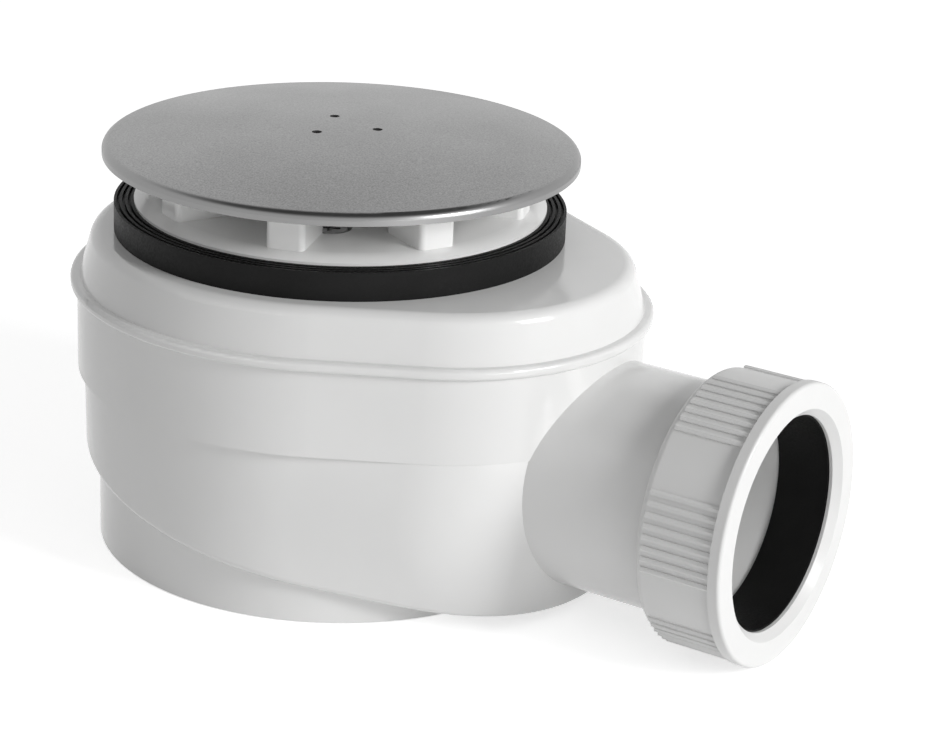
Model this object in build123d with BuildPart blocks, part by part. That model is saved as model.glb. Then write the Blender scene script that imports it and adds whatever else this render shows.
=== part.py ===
from build123d import *
import os
from math import acos, cos, radians, sin, sqrt, tan

os.makedirs("parts", exist_ok=True)

# Waste trap for a shower tray with a 90 mm hole and a 50 mm compression outlet.
# +Z runs up the waste axis and +X along the outlet. The origin is on the waste axis,
# level with the underside of the foot. Sizes are in millimetres.

# Body plan: a round bowl about the waste axis, drawn out into a lobe that carries the outlet
body_r = 63.6
lobe_inset = 33.1  # from the body's wall in to the lobe's axis
lobe_r = 48.8
wall = 2.5

# Body levels and steps
foot_inset = 5.1  # from the body's wall in to the foot
floor_rise = 0.43  # of the sloping floor above the ground, at the reach of the lobe's upper tier
floor_fall = 10.2  # degrees, down towards the outlet
floor_round = 2.0
tier_z = 43.8  # step between the lower and the upper tier
tier_step = 1.6
tier_draft = 0.8  # degrees
lobe_step = 0.2  # the step fades out towards the outlet
lobe_flare = 5.0  # degrees, outwards, mean of the lobe's curve from the step down to the knee
lobe_knee_z = 30.0
lobe_undercut = 11.5  # degrees, mean of the lobe's curve below the knee
weld_gap = 4.8  # from the outlet tube up to the weld
bead_height = 2.6
bead_proud = 1.6
bead_round = 1.0
shoulder_height = 12.3
shoulder_inset = 0.3
shoulder_draft = 16.0  # degrees
shoulder_round = 3.0
top_plate = 3.0

# Water seal: the pot in the foot, the weir between it and the outlet, and a tube that dips into it
weir_offset = 0.5  # from the lobe's axis to the ends of the weir
weir_gap = 5.9  # from the weir up to the weld
seal_depth = 50.0
dip_bore_r = 14.5
dip_r = 17.4
dip_rim_r = 20.4
dip_rim_height = 1.6
grip_width = 4.0
grip_height = 6.0
ring_section_r = 0.9
ring_depth = 11.6  # below the flange
ring_clearance = 0.1

# Clamping flange and its screws
throat_r = 18.0
neck_wall = 2.5
neck_depth = 16.6
neck_clearance = 0.4
flange_r = 49.9
flange_plate = 3.0
flange_edge = 0.6  # upright part of the flange's edge
flange_crown = 1.6  # height of the flange above the gasket
flange_round = 4.9  # width of the crowned edge
flange_lap = 5.6  # from the spigot out to the edge
spigot_wall = 2.2
spigot_depth = 5.0
rim_clearance = 0.2
screw_count = 6
screw_ring_r = 26.5
screw_r = 2.5
screw_head_r = 4.75
screw_head_height = 2.6
screw_head_sink = 0.2
screw_head_chamfer = 0.9
screw_slot = 1.2
screw_clearance = 0.4
screw_pad_wall = 1.6
screw_pad_height = 3.0
insert_r = 3.5
insert_length = 12.0
insert_clearance = 0.05
boss_r = 5.0
boss_height = 18.0
boss_floor = 2.0
screw_tip_gap = 1.0

# Tray gasket
gasket_border = 4.8  # beyond the flange
gasket_bore_clearance = 0.4
gasket_height = 6.8
ridge_count = 3
ridge_edge = 1.0  # from the outside to the middle of the first groove
ridge_pitch = 1.35
ridge_groove = 0.65
ridge_depth = 0.9

# Cover and the plate that carries it
cover_r = 57.5
cover_gap = 10.2  # from the flange up to the cover's lip
cover_lip = 1.2
cover_edge_round = 1.6
cover_rise = 4.2
cover_sheet = 0.8
cover_hole_r = 1.2
cover_hole_ring_r = 8.6
cover_hole_count = 3
leg_count = 8
leg_turn = 19.2  # degrees from the outlet to the first leg
leg_width = 9.2
leg_length = 16.0
leg_round = 1.4
carrier_edge_gap = 2.2
carrier_plate = 1.8
carrier_sink = 0.2  # lip of the cover below the plate
carrier_rim = 6.0  # from the ring under the dome out to the plate's edge
carrier_ring_wall = 2.0
carrier_leg_gap = 2.5
carrier_clearance = 0.2

# Outlet for a 50 mm pipe
pipe_d = 50.0
pipe_clearance = 0.6
tube_wall = 2.0
tube_end_x = 117.0
tube_reach = 0.7  # place of the tube's inner end along the lobe's radius
thread_height = 1.3
thread_length = 11.5
thread_clearance = 0.4
seat_depth = 7.0
seat_flare = 1.8
seal_bore_clearance = 0.15
seal_clearance = 0.3
seal_rim_clearance = 0.5
seal_flange_length = 5.8
seal_tip = 0.5  # thickness of the cone's thin end
nut_wall = 2.9
nut_ground_gap = 0.1
nut_length = 22.2
nut_lip = 2.6
nut_mouth_clearance = 0.5
nut_mouth_chamfer = 1.8
nut_back_round = 2.0
collar_proud = 1.2
collar_length = 2.9
collar_round = 0.8
lip_clearance = 0.2
rib_groups = 6
ribs_per_group = 8
rib_pitch = 4.6  # degrees
rib_turn = 22.0  # degrees from straight up to the middle of a group
rib_r = 0.8
rib_sides = 6

# Edges and faces are picked by their place to within this margin
level_margin = 0.01

# Sizes and places worked out from those above
bore_r = pipe_d / 2 + pipe_clearance
seal_bore_r = pipe_d / 2 + seal_bore_clearance
nut_mouth_r = pipe_d / 2 + nut_mouth_clearance
tube_r = bore_r + tube_wall
thread_r = tube_r + thread_height
nut_bore_r = thread_r + thread_clearance
seal_flange_r = nut_bore_r - seal_rim_clearance
nut_r = nut_bore_r + nut_wall
collar_r = nut_r + collar_proud
outlet_z = collar_r + nut_ground_gap
weld_z = outlet_z + tube_r + weld_gap
body_height = weld_z + shoulder_height
weir_z = weld_z - weir_gap
dip_end_z = weir_z - seal_depth
lobe_x = body_r - lobe_inset
weir_x = lobe_x + weir_offset
floor_z = floor_rise + (lobe_x + lobe_r) * tan(radians(floor_fall))
foot_r = body_r - foot_inset
pot_r = foot_r - wall
gasket_r = flange_r + gasket_border
spigot_r = flange_r - flange_lap
flange_flat_r = flange_r - flange_round
carrier_r = cover_r - cover_sheet - carrier_edge_gap
carrier_ring_r = carrier_r - carrier_rim
leg_outer_r = carrier_ring_r - carrier_leg_gap
leg_inner_r = leg_outer_r - leg_length
gasket_top_z = body_height + gasket_height
flange_top_z = gasket_top_z + flange_crown
flange_under_z = flange_top_z - flange_plate
lip_z = flange_top_z + cover_gap
rim_top_z = lip_z + cover_lip + cover_edge_round
crown_z = rim_top_z + cover_rise
dome_edge_r = cover_r - cover_edge_round
dome_r = (dome_edge_r**2 + cover_rise**2) / (2 * cover_rise)
carrier_z = lip_z + carrier_sink
neck_r = throat_r + neck_wall
neck_end_z = flange_top_z - neck_depth
head_seat_z = flange_top_z - screw_head_sink - screw_head_height
head_hole_r = screw_head_r + screw_clearance
pad_r = head_hole_r + screw_pad_wall
screw_end_z = body_height - boss_height + boss_floor + screw_tip_gap
ring_z = flange_top_z - ring_depth
ring_r = throat_r - ring_clearance - ring_section_r
groove_r = ring_r - ring_section_r - ring_clearance
gasket_bore_r = spigot_r + gasket_bore_clearance
tube_start_x = lobe_x + tube_reach * lobe_r
seat_r = bore_r + seat_flare
seal_back_x = tube_end_x + seal_clearance
seal_front_x = seal_back_x + seal_flange_length
lip_face_x = seal_front_x + lip_clearance
nut_front_x = lip_face_x + nut_lip
nut_back_x = nut_front_x - nut_length
collar_back_x = nut_front_x - collar_length
knee_lean = (tier_z - lobe_knee_z) * tan(radians(tier_draft))
tier_lean = tier_z * tan(radians(tier_draft))
lobe_knee_lean = -(tier_z - lobe_knee_z) * tan(radians(lobe_flare))
lobe_lean = lobe_knee_lean + lobe_knee_z * tan(radians(lobe_undercut))
shoulder_lean = (body_height - weld_z) * tan(radians(shoulder_draft))
bead_low_z = weld_z - bead_height / 2
bead_high_z = weld_z + bead_height / 2

floor_plane = Plane(origin=(0, 0, floor_z), z_dir=(tan(radians(floor_fall)), 0, 1))
outlet_axis = Axis((0, 0, outlet_z), (1, 0, 0))


def body_plan(grow, lobe_grow):
    """Egg outline of the body, its bowl and lobe grown outwards from the upper tier's wall."""
    bowl_r = body_r + grow
    tip_r = lobe_r + lobe_grow
    turn = acos((bowl_r - tip_r) / lobe_x)
    bowl_end = (bowl_r * cos(turn), bowl_r * sin(turn))
    tip_end = (lobe_x + tip_r * cos(turn), tip_r * sin(turn))
    with BuildLine() as outline:
        ThreePointArc(bowl_end, (-bowl_r, 0), (bowl_end[0], -bowl_end[1]))
        Line((bowl_end[0], -bowl_end[1]), (tip_end[0], -tip_end[1]))
        ThreePointArc((tip_end[0], -tip_end[1]), (lobe_x + tip_r, 0), tip_end)
        Line(tip_end, bowl_end)
    make_face(outline.edges())


def dome_z(r, sink):
    """Height of the cover's dome at a radius, a given depth below its outer face."""
    return crown_z - dome_r + sqrt((dome_r - sink) ** 2 - r**2)


def ledge_rim(part, z):
    """Outer edges of the ledge that faces up or down at this height."""
    ledge = part.faces().filter_by(Axis.Z).filter_by_position(Axis.Z, z - level_margin, z + level_margin)
    return ledge.sort_by(SortBy.AREA)[-1].outer_wire().edges()


# Hollow of the lower shell: the pot in the foot and, past the weir, the way to the outlet
with BuildPart() as hollow:
    with BuildSketch(Plane.XY):
        body_plan(-tier_step - tier_lean - wall, -lobe_step - lobe_lean - wall)
    with BuildSketch(Plane.XY.offset(lobe_knee_z)):
        body_plan(-tier_step - knee_lean - wall, -lobe_step - lobe_knee_lean - wall)
    with BuildSketch(Plane.XY.offset(tier_z)):
        body_plan(-tier_step - wall, -lobe_step - wall)
    loft()
    extrude(hollow.faces().sort_by(Axis.Z)[-1], amount=wall)
    with BuildSketch(Plane.XY.offset(tier_z + wall)):
        body_plan(-wall, -wall)
    extrude(amount=weld_z - tier_z - wall)
    split(bisect_by=floor_plane.offset(wall), keep=Keep.TOP)
    with BuildSketch(Plane.XY):
        Circle(foot_r)
        with Locations((weir_x, 0)):
            Rectangle(body_r, 2 * body_r, align=(Align.MIN, Align.CENTER), mode=Mode.INTERSECT)
            Rectangle(wall, 2 * body_r)
    extrude(amount=weir_z, mode=Mode.SUBTRACT)
    with BuildSketch(Plane.XY.offset(wall)):
        Circle(pot_r)
    extrude(amount=weld_z - wall)

# Lower shell: two tiers, half of the weld bead, outlet tube, foot and weir
with BuildPart() as body_bottom:
    with BuildSketch(Plane.XY.offset(tier_z)):
        body_plan(-tier_step, -lobe_step)
    with BuildSketch(Plane.XY.offset(lobe_knee_z)):
        body_plan(-tier_step - knee_lean, -lobe_step - lobe_knee_lean)
    with BuildSketch(Plane.XY):
        body_plan(-tier_step - tier_lean, -lobe_step - lobe_lean)
    loft()
    split(bisect_by=floor_plane, keep=Keep.TOP)
    fillet(body_bottom.faces().sort_by(Axis.Z)[0].edges(), floor_round)
    with BuildSketch(Plane.XY.offset(tier_z)):
        body_plan(0, 0)
    extrude(amount=weld_z - tier_z)
    with BuildSketch(Plane.XY.offset(bead_low_z)):
        body_plan(bead_proud, bead_proud)
    extrude(amount=weld_z - bead_low_z)
    fillet(ledge_rim(body_bottom, bead_low_z), bead_round)
    with BuildSketch(Plane.YZ.offset(tube_start_x)):
        with Locations((0, outlet_z)):
            Circle(tube_r)
    extrude(amount=tube_end_x - tube_start_x)
    with BuildSketch(Plane.YZ.offset(tube_end_x)):
        with Locations((0, outlet_z)):
            Circle(thread_r)
    extrude(amount=-thread_length)
    with BuildSketch(Plane.XY):
        Circle(foot_r)
    extrude(amount=tier_z)
    add(hollow.part, mode=Mode.SUBTRACT)
    with BuildSketch(Plane.YZ.offset(tube_end_x)):
        with Locations((0, outlet_z)):
            Circle(bore_r)
    extrude(amount=tube_start_x - tube_end_x, mode=Mode.SUBTRACT)
    mouth = body_bottom.edges().filter_by(GeomType.CIRCLE)
    mouth = mouth.filter_by_position(Axis.X, tube_end_x - level_margin, tube_end_x + level_margin)
    mouth = mouth.sort_by(SortBy.RADIUS)[0]
    mouth_face = body_bottom.faces().sort_by(Axis.X)[-1]
    chamfer(mouth, length=seat_flare, length2=seat_depth, reference=mouth_face)

# Upper shell: shoulder, half of the weld bead, inlet and the bosses for the flange screws
with BuildPart() as body_top:
    with BuildSketch(Plane.XY.offset(weld_z)):
        body_plan(-shoulder_inset, -shoulder_inset)
    with BuildSketch(Plane.XY.offset(body_height)):
        body_plan(-shoulder_inset - shoulder_lean, -shoulder_inset - shoulder_lean)
    loft(ruled=True)
    fillet(body_top.faces().sort_by(Axis.Z)[-1].edges(), shoulder_round)
    with BuildSketch(Plane.XY.offset(weld_z)):
        body_plan(bead_proud, bead_proud)
    extrude(amount=bead_high_z - weld_z)
    fillet(ledge_rim(body_top, bead_high_z), bead_round)
    with BuildSketch(Plane.XY.offset(weld_z)):
        body_plan(-shoulder_inset - wall, -shoulder_inset - wall)
    with BuildSketch(Plane.XY.offset(body_height - top_plate)):
        body_plan(-shoulder_inset - shoulder_lean - wall, -shoulder_inset - shoulder_lean - wall)
    loft(ruled=True, mode=Mode.SUBTRACT)
    with BuildSketch(Plane.XY.offset(body_height)):
        with PolarLocations(screw_ring_r, screw_count):
            Circle(boss_r)
    extrude(amount=-boss_height)
    with Locations((0, 0, body_height)):
        Hole(neck_r + neck_clearance)
        with PolarLocations(screw_ring_r, screw_count):
            Hole(insert_r + insert_clearance, depth=boss_height - boss_floor)

# Threaded inserts for the flange screws, flush with the top of the body
with BuildPart() as screw_inserts:
    with BuildSketch(Plane.XY.offset(body_height)):
        with PolarLocations(screw_ring_r, screw_count):
            Circle(insert_r)
        with PolarLocations(screw_ring_r, screw_count):
            Circle(screw_r + insert_clearance, mode=Mode.SUBTRACT)
    extrude(amount=-insert_length)

# Tray gasket, with sealing ridges round the outside of its two faces
with BuildPart() as tray_gasket:
    with BuildSketch(Plane.XZ):
        with Locations((gasket_bore_r, body_height)):
            Rectangle(gasket_r - gasket_bore_r, gasket_height, align=Align.MIN)
        for ridge in range(ridge_count):
            ridge_r = gasket_r - ridge_edge - ridge * ridge_pitch
            with Locations((ridge_r, gasket_top_z), (ridge_r, body_height)):
                Rectangle(ridge_groove, 2 * ridge_depth, mode=Mode.SUBTRACT)
    revolve(axis=Axis.Z)

# Clamping flange: crowned rim, spigot for the tray hole and the neck of the inlet
with BuildPart() as flange:
    with BuildSketch(Plane.XZ):
        with BuildLine():
            Polyline(
                (flange_flat_r, flange_top_z),
                (throat_r, flange_top_z),
                (throat_r, neck_end_z),
                (neck_r, neck_end_z),
                (neck_r, flange_under_z),
                (spigot_r - spigot_wall, flange_under_z),
                (spigot_r - spigot_wall, gasket_top_z - spigot_depth),
                (spigot_r, gasket_top_z - spigot_depth),
                (spigot_r, gasket_top_z),
                (flange_r, gasket_top_z),
                (flange_r, gasket_top_z + flange_edge),
            )
            TangentArc(
                (flange_flat_r, flange_top_z),
                (flange_r, gasket_top_z + flange_edge),
                tangent=(1, 0),
            )
        make_face()
    revolve(axis=Axis.Z)
    with BuildSketch(Plane.XY.offset(flange_under_z)):
        with PolarLocations(screw_ring_r, screw_count):
            Circle(pad_r)
        Circle(neck_r - neck_wall / 2, mode=Mode.SUBTRACT)
    extrude(amount=-screw_pad_height)
    with Locations((0, 0, flange_top_z)):
        CounterBoreHole(throat_r, dip_rim_r + rim_clearance, dip_rim_height)
        with PolarLocations(screw_ring_r, screw_count):
            CounterBoreHole(screw_r + screw_clearance, head_hole_r, flange_top_z - head_seat_z)

# Flange screws, pan headed with a cross slot
with BuildPart() as flange_screws:
    with BuildSketch(Plane.XY.offset(head_seat_z)):
        with PolarLocations(screw_ring_r, screw_count):
            Circle(screw_head_r)
    extrude(amount=screw_head_height)
    chamfer(flange_screws.edges().group_by(Axis.Z)[-1], screw_head_chamfer)
    with BuildSketch(Plane.XY.offset(head_seat_z + screw_head_height)):
        with PolarLocations(screw_ring_r, screw_count):
            Rectangle(screw_head_r, screw_slot)
        with PolarLocations(screw_ring_r, screw_count):
            Rectangle(screw_slot, screw_head_r)
    extrude(amount=-screw_slot, mode=Mode.SUBTRACT)
    with BuildSketch(Plane.XY.offset(head_seat_z)):
        with PolarLocations(screw_ring_r, screw_count):
            Circle(screw_r)
    extrude(amount=screw_end_z - head_seat_z)

# Dip tube: rim that hangs in the flange, groove for its ring and a bar to pull it out by
with BuildPart() as dip_tube:
    with BuildSketch(Plane.XY.offset(dip_end_z)):
        Circle(dip_r)
        Circle(dip_bore_r, mode=Mode.SUBTRACT)
    extrude(amount=flange_top_z - dip_end_z)
    with BuildSketch(Plane.XY.offset(flange_top_z)):
        Circle(dip_rim_r)
        Circle(dip_bore_r, mode=Mode.SUBTRACT)
    extrude(amount=-dip_rim_height)
    with BuildSketch(Plane.XY.offset(ring_z - ring_section_r - ring_clearance)):
        Circle(dip_r)
        Circle(groove_r, mode=Mode.SUBTRACT)
    extrude(amount=2 * (ring_section_r + ring_clearance), mode=Mode.SUBTRACT)
    with BuildSketch(Plane.XY.offset(flange_top_z - grip_height)):
        Rectangle(2 * dip_bore_r + (dip_r - dip_bore_r), grip_width)
    extrude(amount=grip_height)

# Sealing ring of the dip tube
with BuildPart() as dip_tube_o_ring:
    with BuildSketch(Plane.XZ):
        with Locations((ring_r, ring_z)):
            Circle(ring_section_r)
    revolve(axis=Axis.Z)

# Cover: shallow pressed dome with a rounded edge and a short lip
with BuildPart() as cover:
    with BuildSketch(Plane.XZ):
        with BuildLine():
            dome = ThreePointArc(
                (0, crown_z),
                (dome_edge_r / 2, dome_z(dome_edge_r / 2, 0)),
                (dome_edge_r, rim_top_z),
            )
            TangentArc(
                (dome_edge_r, rim_top_z),
                (cover_r, lip_z + cover_lip),
                tangent=dome % 1,
            )
            Line((cover_r, lip_z + cover_lip), (cover_r, lip_z))
            offset(amount=cover_sheet, side=Side.RIGHT)
        make_face()
    revolve(axis=Axis.Z)
    with Locations((0, 0, crown_z)):
        with PolarLocations(cover_hole_ring_r, cover_hole_count, start_angle=leg_turn):
            Hole(cover_hole_r, depth=cover_rise)

# Carrier: plate inside the cover's lip, with a ring under the dome and legs down to the flange
with BuildPart() as cover_carrier:
    with BuildSketch(Plane.XY.offset(carrier_z)):
        Circle(carrier_r)
    extrude(amount=carrier_plate)
    with BuildSketch(Plane.XY.offset(carrier_z)):
        Circle(carrier_ring_r)
        Circle(carrier_ring_r - carrier_ring_wall, mode=Mode.SUBTRACT)
    extrude(amount=dome_z(carrier_ring_r, cover_sheet) - carrier_clearance - carrier_z)
    with BuildSketch(Plane.XY.offset(carrier_z)):
        with PolarLocations((leg_inner_r + leg_outer_r) / 2, leg_count, start_angle=leg_turn):
            RectangleRounded(leg_outer_r - leg_inner_r, leg_width, leg_round)
    extrude(amount=flange_top_z - carrier_z)

# Compression nut: grip ribs in groups between smooth panels, behind a plain collar
with BuildPart() as outlet_nut:
    with BuildSketch(Plane.XZ):
        with Locations((nut_back_x, outlet_z + nut_bore_r)):
            Rectangle(nut_length, nut_r - nut_bore_r, align=Align.MIN)
        with Locations((lip_face_x, outlet_z + nut_mouth_r)):
            Rectangle(nut_lip, nut_r - nut_mouth_r, align=Align.MIN)
        with Locations((collar_back_x, outlet_z + nut_bore_r)):
            Rectangle(collar_length, collar_r - nut_bore_r, align=Align.MIN)
    revolve(axis=outlet_axis)
    rims = outlet_nut.edges().filter_by(GeomType.CIRCLE)
    chamfer(rims.group_by(Axis.X)[-1].sort_by(SortBy.RADIUS)[0], nut_mouth_chamfer)
    fillet(rims.group_by(Axis.X)[0].sort_by(SortBy.RADIUS)[-1], nut_back_round)
    rims = outlet_nut.edges().filter_by(GeomType.CIRCLE)
    fillet(rims.group_by(Axis.X)[-1].sort_by(SortBy.RADIUS)[-1], collar_round)
    with BuildSketch(Plane.YZ.offset(collar_back_x)):
        for group in range(rib_groups):
            group_turn = 90 + rib_turn + group * 360 / rib_groups
            first_turn = group_turn - rib_pitch * (ribs_per_group - 1) / 2
            with Locations((0, outlet_z)):
                with PolarLocations(nut_r, ribs_per_group, first_turn, rib_pitch * ribs_per_group):
                    RegularPolygon(rib_r, rib_sides)
        with Locations((0, outlet_z)):
            Circle((nut_r + nut_bore_r) / 2, mode=Mode.SUBTRACT)
    extrude(amount=nut_back_x + nut_back_round - collar_back_x)

# Cone seal, squeezed on the pipe between the tube's mouth and the nut
with BuildPart() as outlet_seal:
    with BuildSketch(Plane.XZ):
        with BuildLine():
            Polyline(
                (seal_front_x, outlet_z + seal_bore_r),
                (seal_front_x, outlet_z + seal_flange_r),
                (seal_back_x, outlet_z + seal_flange_r),
                (seal_back_x, outlet_z + seat_r - seal_clearance),
                (tube_end_x - seat_depth + seal_clearance, outlet_z + seal_bore_r + seal_tip),
                (tube_end_x - seat_depth + seal_clearance, outlet_z + seal_bore_r),
                close=True,
            )
        make_face()
    revolve(axis=outlet_axis)

pieces = {
    "body_bottom": body_bottom,
    "body_top": body_top,
    "screw_inserts": screw_inserts,
    "tray_gasket": tray_gasket,
    "flange": flange,
    "flange_screws": flange_screws,
    "dip_tube": dip_tube,
    "dip_tube_o_ring": dip_tube_o_ring,
    "cover": cover,
    "cover_carrier": cover_carrier,
    "outlet_nut": outlet_nut,
    "outlet_seal": outlet_seal,
}
for name, piece in pieces.items():
    piece.part.label = name
    export_step(piece.part, f"parts/{name}.step")
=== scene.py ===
import math

import bpy
from mathutils import Matrix, Vector


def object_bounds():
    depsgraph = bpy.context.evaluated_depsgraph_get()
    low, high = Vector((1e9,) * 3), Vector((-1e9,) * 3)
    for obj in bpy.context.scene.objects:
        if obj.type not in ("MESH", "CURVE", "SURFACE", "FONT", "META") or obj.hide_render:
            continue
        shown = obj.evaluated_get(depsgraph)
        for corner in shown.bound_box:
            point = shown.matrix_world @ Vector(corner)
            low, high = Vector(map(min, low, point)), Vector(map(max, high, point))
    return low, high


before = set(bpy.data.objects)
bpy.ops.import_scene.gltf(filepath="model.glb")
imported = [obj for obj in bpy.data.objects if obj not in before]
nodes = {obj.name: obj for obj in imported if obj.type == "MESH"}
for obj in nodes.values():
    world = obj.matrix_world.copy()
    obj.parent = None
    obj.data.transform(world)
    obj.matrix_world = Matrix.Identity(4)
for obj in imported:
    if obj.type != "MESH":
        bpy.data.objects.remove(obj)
cad_box = [list(corner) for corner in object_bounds()]
scene = bpy.context.scene

# Camera at the photograph's angle, in metres and degrees
LENS_MM = 104.17
SENSOR_MM = 36.0
CAMERA_AT = Vector((0.36313, -0.51572, 0.2814))
CAMERA_AZIMUTH = 32.16
CAMERA_ELEVATION = 20.91
CAMERA_ROLL = 2.48
CLIP_NEAR = 0.01
CLIP_FAR = 50.0

# Light: an even fill, a key lamp on the outlet's side and a weak lamp low beside it
FILL = 0.373
KEY_WATTS = 6.5
KEY_FROM = Vector((0.90, -0.01, 0.41))
KEY_DISTANCE = 1.1
KEY_SIZE = (0.32, 0.32)
LOW_WATTS = 1.25
LOW_FROM = Vector((0.92, -0.40, 0.02))
LOW_DISTANCE = 1.0
LOW_SIZE = (0.4, 0.14)

# Studio as glossy surfaces see it: white below, and dark overhead past these slopes of a ray
MIRRORED = 1.0
DARK_ABOVE = 0.08
DARK_START = 0.65
DARK_END = 0.85

# Floor, in metres, with a glow where it is seen, for a white ground
FLOOR_REACH = 6.0
FLOOR_DROP = 0.0002
FLOOR_GLOW = 0.62
FLOOR_SHADES = (0.9, 0.92)
FLOOR_CLOUD = 3.0
FLOOR_ROUGHNESS = 0.9
FLOOR_SPECULAR = 0.1

# Finishes, with scales in features per metre, depths in metres and angles in degrees
SHARP_ANGLE = 32.0  # edges of the solids sharper than this stay sharp
MOULDED_IOR = 1.5
PLASTIC_WARMTH = 0.005  # blue is lower than red and green by this much
PLASTIC_CLOUD = 22.0
PLASTIC_SWELL = 90.0
PLASTIC_SWELL_DEPTH = 0.0002
PLASTIC_SWELL_STRENGTH = 0.03
RUBBER_SHADES = (0.005, 0.009)
RUBBER_ROUGHNESS = (0.42, 0.62)
RUBBER_SPECULAR = 0.14
RUBBER_BLOOM = 60.0
RUBBER_GRAIN = 1800.0
RUBBER_GRAIN_DEPTH = 0.00006
RUBBER_GRAIN_STRENGTH = 0.3
STEEL_CLOUD = 30.0
STEEL_GRAIN_STRENGTH = 0.35
STEEL_GRAIN_MEAN = 0.5
STEEL_GRAIN_START = 0.9  # upward part of the normal where the grain sets in
STEEL_GRAIN_END = 0.97  # and where it is full


def grey(level, warmth=0.0):
    """A grey of this level, with its blue lowered by the warmth."""
    return (level, level, level - warmth)


def noise(tree, scale, detail, rough=0.5):
    """A noise texture in the frame's own coordinates, so its scale is in features per metre."""
    place = tree.nodes.get("place")
    if place is None:
        place = tree.nodes.new("ShaderNodeTexCoord")
        place.name = "place"
    node = tree.nodes.new("ShaderNodeTexNoise")
    node.inputs["Scale"].default_value = scale
    node.inputs["Detail"].default_value = detail
    node.inputs["Roughness"].default_value = rough
    tree.links.new(place.outputs["Object"], node.inputs["Vector"])
    return node.outputs["Fac"]


def spread(tree, value, low, high, start=0.3, end=0.7):
    """Maps a value, by default the usual run of a noise, to a range of numbers."""
    node = tree.nodes.new("ShaderNodeMapRange")
    node.inputs["From Min"].default_value = start
    node.inputs["From Max"].default_value = end
    node.inputs["To Min"].default_value = low
    node.inputs["To Max"].default_value = high
    tree.links.new(value, node.inputs["Value"])
    return node.outputs["Result"]


def shades(tree, value, dark, light, start=0.3, end=0.7):
    """Maps a noise value to a run of colours."""
    node = tree.nodes.new("ShaderNodeValToRGB")
    node.color_ramp.elements[0].position = start
    node.color_ramp.elements[0].color = (*dark, 1.0)
    node.color_ramp.elements[1].position = end
    node.color_ramp.elements[1].color = (*light, 1.0)
    tree.links.new(value, node.inputs["Fac"])
    return node.outputs["Color"]


def bump(tree, value, depth, strength):
    """A bump of the given depth in metres."""
    node = tree.nodes.new("ShaderNodeBump")
    node.inputs["Strength"].default_value = strength
    node.inputs["Distance"].default_value = depth
    tree.links.new(value, node.inputs["Height"])
    return node.outputs["Normal"]


def choose(tree, switch, off, on):
    """The value of on where the switch is one, and of off where it is zero."""
    node = tree.nodes.new("ShaderNodeMix")
    tree.links.new(switch, node.inputs["Factor"])
    for socket, value in (("A", off), ("B", on)):
        if isinstance(value, float):
            node.inputs[socket].default_value = value
        else:
            tree.links.new(value, node.inputs[socket])
    return node.outputs["Result"]


def seen(tree):
    """One where a camera ray looks, and one where a glossy or transmitted ray does."""
    path = tree.nodes.new("ShaderNodeLightPath")
    mirrored = tree.nodes.new("ShaderNodeMath")
    mirrored.operation = "MAXIMUM"
    tree.links.new(path.outputs["Is Glossy Ray"], mirrored.inputs[0])
    tree.links.new(path.outputs["Is Transmission Ray"], mirrored.inputs[1])
    return path.outputs["Is Camera Ray"], mirrored.outputs["Value"]


def new_material(name):
    """A new material, with its node tree and its shader."""
    material = bpy.data.materials.new(name)
    material.use_nodes = True
    return material, material.node_tree, material.node_tree.nodes["Principled BSDF"]


def plastic(name, dark, light, roughness, grain):
    """Moulded plastic: faint cloudy colour, with gloss and a skin that vary a little."""
    material, tree, shader = new_material(name)
    cloud = noise(tree, PLASTIC_CLOUD, 3.0)
    skin = noise(tree, grain, 1.0)
    swell = noise(tree, PLASTIC_SWELL, 1.0)
    colour = shades(tree, cloud, grey(dark, PLASTIC_WARMTH), grey(light, PLASTIC_WARMTH))
    relief = bump(tree, swell, PLASTIC_SWELL_DEPTH, PLASTIC_SWELL_STRENGTH)
    tree.links.new(colour, shader.inputs["Base Color"])
    tree.links.new(spread(tree, skin, *roughness), shader.inputs["Roughness"])
    tree.links.new(relief, shader.inputs["Normal"])
    shader.inputs["IOR"].default_value = MOULDED_IOR
    return material


def rubber(name):
    """Moulded rubber: nearly black, dull, with a fine grain and a trace of bloom."""
    material, tree, shader = new_material(name)
    bloom = noise(tree, RUBBER_BLOOM, 4.0)
    grain = noise(tree, RUBBER_GRAIN, 2.0)
    colour = shades(tree, bloom, *map(grey, RUBBER_SHADES))
    relief = bump(tree, grain, RUBBER_GRAIN_DEPTH, RUBBER_GRAIN_STRENGTH)
    tree.links.new(colour, shader.inputs["Base Color"])
    tree.links.new(spread(tree, grain, *RUBBER_ROUGHNESS), shader.inputs["Roughness"])
    tree.links.new(relief, shader.inputs["Normal"])
    shader.inputs["IOR"].default_value = MOULDED_IOR
    shader.inputs["Specular IOR Level"].default_value = RUBBER_SPECULAR
    return material


def metal(name, dark, light, roughness, grain, depth):
    """Metal with a fine even blasted grain where it faces up, and plain where it turns down."""
    material, tree, shader = new_material(name)
    blast = noise(tree, grain, 3.0, 0.6)
    cloud = noise(tree, STEEL_CLOUD, 2.0)
    normal = tree.nodes.new("ShaderNodeSeparateXYZ")
    tree.links.new(tree.nodes["place"].outputs["Normal"], normal.inputs["Vector"])
    upward = spread(tree, normal.outputs["Z"], 0.0, 1.0, STEEL_GRAIN_START, STEEL_GRAIN_END)
    speck = choose(tree, upward, STEEL_GRAIN_MEAN, blast)
    relief = bump(tree, speck, depth, STEEL_GRAIN_STRENGTH)
    tree.links.new(shades(tree, speck, dark, light), shader.inputs["Base Color"])
    tree.links.new(spread(tree, cloud, *roughness), shader.inputs["Roughness"])
    tree.links.new(relief, shader.inputs["Normal"])
    shader.inputs["Metallic"].default_value = 1.0
    return material


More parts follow.
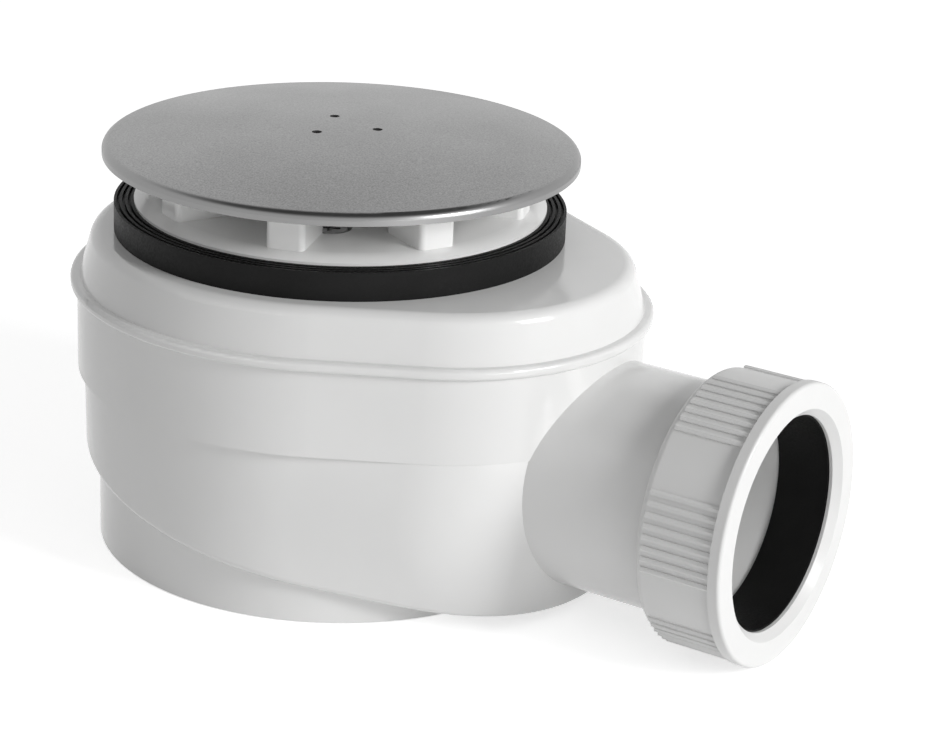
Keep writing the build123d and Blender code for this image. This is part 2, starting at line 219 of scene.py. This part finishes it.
white_plastic = plastic("white_plastic", 0.79, 0.83, roughness=(0.11, 0.17), grain=260.0)
# Painted light: the flange and the cover's carrier are the body's white plastic, painted lighter to lift the
# shade under the cover
painted_light_plastic = plastic("painted_light_plastic", 0.86, 0.9, roughness=(0.13, 0.19), grain=260.0)
nut_plastic = plastic("nut_plastic", 0.73, 0.77, roughness=(0.36, 0.44), grain=320.0)
black_rubber = rubber("black_rubber")
cover_steel = metal(
    "cover_steel", grey(0.19), grey(0.35), roughness=(0.3, 0.36), grain=2500.0, depth=0.000016,
)
screw_steel = metal(
    "screw_steel", grey(0.3), grey(0.42), roughness=(0.25, 0.35), grain=900.0, depth=0.00003,
)
insert_brass = metal(
    "insert_brass", (0.5, 0.36, 0.13), (0.62, 0.46, 0.2), roughness=(0.22, 0.32), grain=700.0, depth=0.00003,
)

looks = {
    "body_bottom": white_plastic,
    "body_top": white_plastic,
    "dip_tube": white_plastic,
    # painted light: lighter plastic for the parts in the shade under the cover
    "flange": painted_light_plastic,
    "cover_carrier": painted_light_plastic,
    "outlet_nut": nut_plastic,
    "tray_gasket": black_rubber,
    "outlet_seal": black_rubber,
    "dip_tube_o_ring": black_rubber,
    "cover": cover_steel,
    "flange_screws": screw_steel,
    "screw_inserts": insert_brass,
}
for name, material in looks.items():
    mesh = nodes[name].data
    mesh.materials.clear()
    mesh.materials.append(material)
    mesh.shade_smooth()
    mesh.set_sharp_from_angle(angle=math.radians(SHARP_ANGLE))


def camera_place():
    """The camera's place and axes, from its angles about the object."""
    azimuth = math.radians(CAMERA_AZIMUTH)
    elevation = math.radians(CAMERA_ELEVATION)
    roll = math.radians(CAMERA_ROLL)
    back = Vector((
        math.sin(azimuth) * math.cos(elevation),
        -math.cos(azimuth) * math.cos(elevation),
        math.sin(elevation),
    ))
    right = Vector((math.cos(azimuth), math.sin(azimuth), 0.0))
    up = back.cross(right)
    across = right * math.cos(roll) + up * math.sin(roll)
    upward = up * math.cos(roll) - right * math.sin(roll)
    turn = Matrix((across, upward, back)).transposed()
    return Matrix.Translation(CAMERA_AT) @ turn.to_4x4()


lens = bpy.data.cameras.new("camera")
lens.lens = LENS_MM
lens.sensor_width = SENSOR_MM
lens.sensor_fit = "HORIZONTAL"
lens.clip_start = CLIP_NEAR
lens.clip_end = CLIP_FAR
camera = bpy.data.objects.new("camera", lens)
camera.matrix_world = camera_place()
scene.collection.objects.link(camera)
scene.camera = camera

# World: an even fill, white where it is seen and dark overhead where it is mirrored
world = bpy.data.worlds.new("studio")
scene.world = world
world.use_nodes = True
sky = world.node_tree
facing = sky.nodes.new("ShaderNodeTexCoord")
height = sky.nodes.new("ShaderNodeSeparateXYZ")
sky.links.new(facing.outputs["Generated"], height.inputs["Vector"])
overhead = spread(sky, height.outputs["Z"], MIRRORED, DARK_ABOVE, DARK_START, DARK_END)
by_camera, by_mirror = seen(sky)
level = choose(sky, by_camera, choose(sky, by_mirror, FILL, overhead), 1.0)
sky.nodes["Background"].inputs["Color"].default_value = (1.0, 1.0, 1.0, 1.0)
sky.links.new(level, sky.nodes["Background"].inputs["Strength"])


def soft_box(name, direction, distance, size, watts):
    """A soft light in this direction from the middle of the part, and facing it."""
    middle = (Vector(cad_box[0]) + Vector(cad_box[1])) / 2
    source = middle + direction.normalized() * distance
    data = bpy.data.lights.new(name, "AREA")
    data.shape = "RECTANGLE"
    data.size = size[0]
    data.size_y = size[1]
    data.energy = watts
    lamp = bpy.data.objects.new(name, data)
    lamp.location = source
    lamp.rotation_euler = (middle - source).to_track_quat("-Z", "Y").to_euler()
    scene.collection.objects.link(lamp)


soft_box("key", KEY_FROM, KEY_DISTANCE, KEY_SIZE, KEY_WATTS)
soft_box("low", LOW_FROM, LOW_DISTANCE, LOW_SIZE, LOW_WATTS)

# Floor: pale, with the part's own soft shadow on it
floor_mesh = bpy.data.meshes.new("floor")
floor_mesh.from_pydata(
    [
        (-FLOOR_REACH, -FLOOR_REACH, 0.0),
        (FLOOR_REACH, -FLOOR_REACH, 0.0),
        (FLOOR_REACH, FLOOR_REACH, 0.0),
        (-FLOOR_REACH, FLOOR_REACH, 0.0),
    ],
    [],
    [(0, 1, 2, 3)],
)
floor = bpy.data.objects.new("floor", floor_mesh)
floor.location.z = -FLOOR_DROP
scene.collection.objects.link(floor)
floor_paint, paint, floor_shader = new_material("floor_paint")
tone = shades(paint, noise(paint, FLOOR_CLOUD, 2.0), *map(grey, FLOOR_SHADES))
paint.links.new(tone, floor_shader.inputs["Base Color"])
floor_shader.inputs["Roughness"].default_value = FLOOR_ROUGHNESS
floor_shader.inputs["Specular IOR Level"].default_value = FLOOR_SPECULAR
floor_shader.inputs["Emission Color"].default_value = (1.0, 1.0, 1.0, 1.0)
by_camera, by_mirror = seen(paint)
glow = choose(paint, by_camera, choose(paint, by_mirror, 0.0, FLOOR_GLOW), FLOOR_GLOW)
paint.links.new(glow, floor_shader.inputs["Emission Strength"])
floor_mesh.materials.append(floor_paint)

scene.view_settings.view_transform = "Standard"
